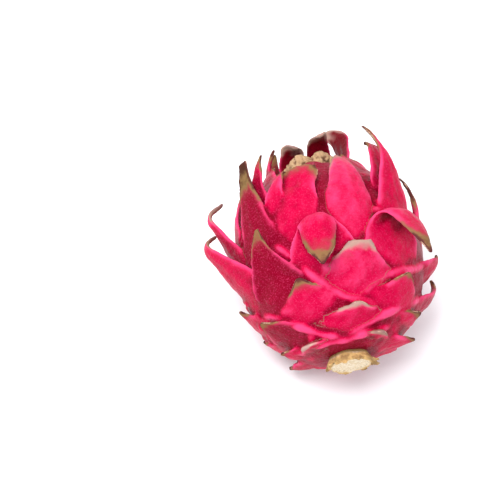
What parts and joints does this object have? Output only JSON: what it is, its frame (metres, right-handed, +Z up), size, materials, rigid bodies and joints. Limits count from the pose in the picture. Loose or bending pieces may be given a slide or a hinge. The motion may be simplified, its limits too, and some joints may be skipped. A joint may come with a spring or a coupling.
{
  "type": "dragon fruit",
  "caption": "Whole red dragon fruit lying on its side, with overlapping fleshy scales, a cut stem stub and a withered flower base.",
  "frame": {"origin": "on the supporting surface, under the middle of the whole fruit in X and Y", "axes": "+Z up; +Y from the stem end to the flower end (the flower end is raised by 4 degrees); +X completes the right-handed frame, to the right of a viewer who stands at the stem end and looks along +Y"},
  "size_m": [0.1148, 0.1322, 0.1016],
  "materials": {
    "rind": "waxy satin crimson-pink skin, dry olive-brown scale tips",
    "dry_stem": "matt cream cut face with brown bark edge",
    "dry_flower": "matt tan cork"
  },
  "bodies": {
    "root": {"fruit": "rind", "stem_stub": "dry_stem", "flower_remnant": "dry_flower"}
  },
  "joints": []
}
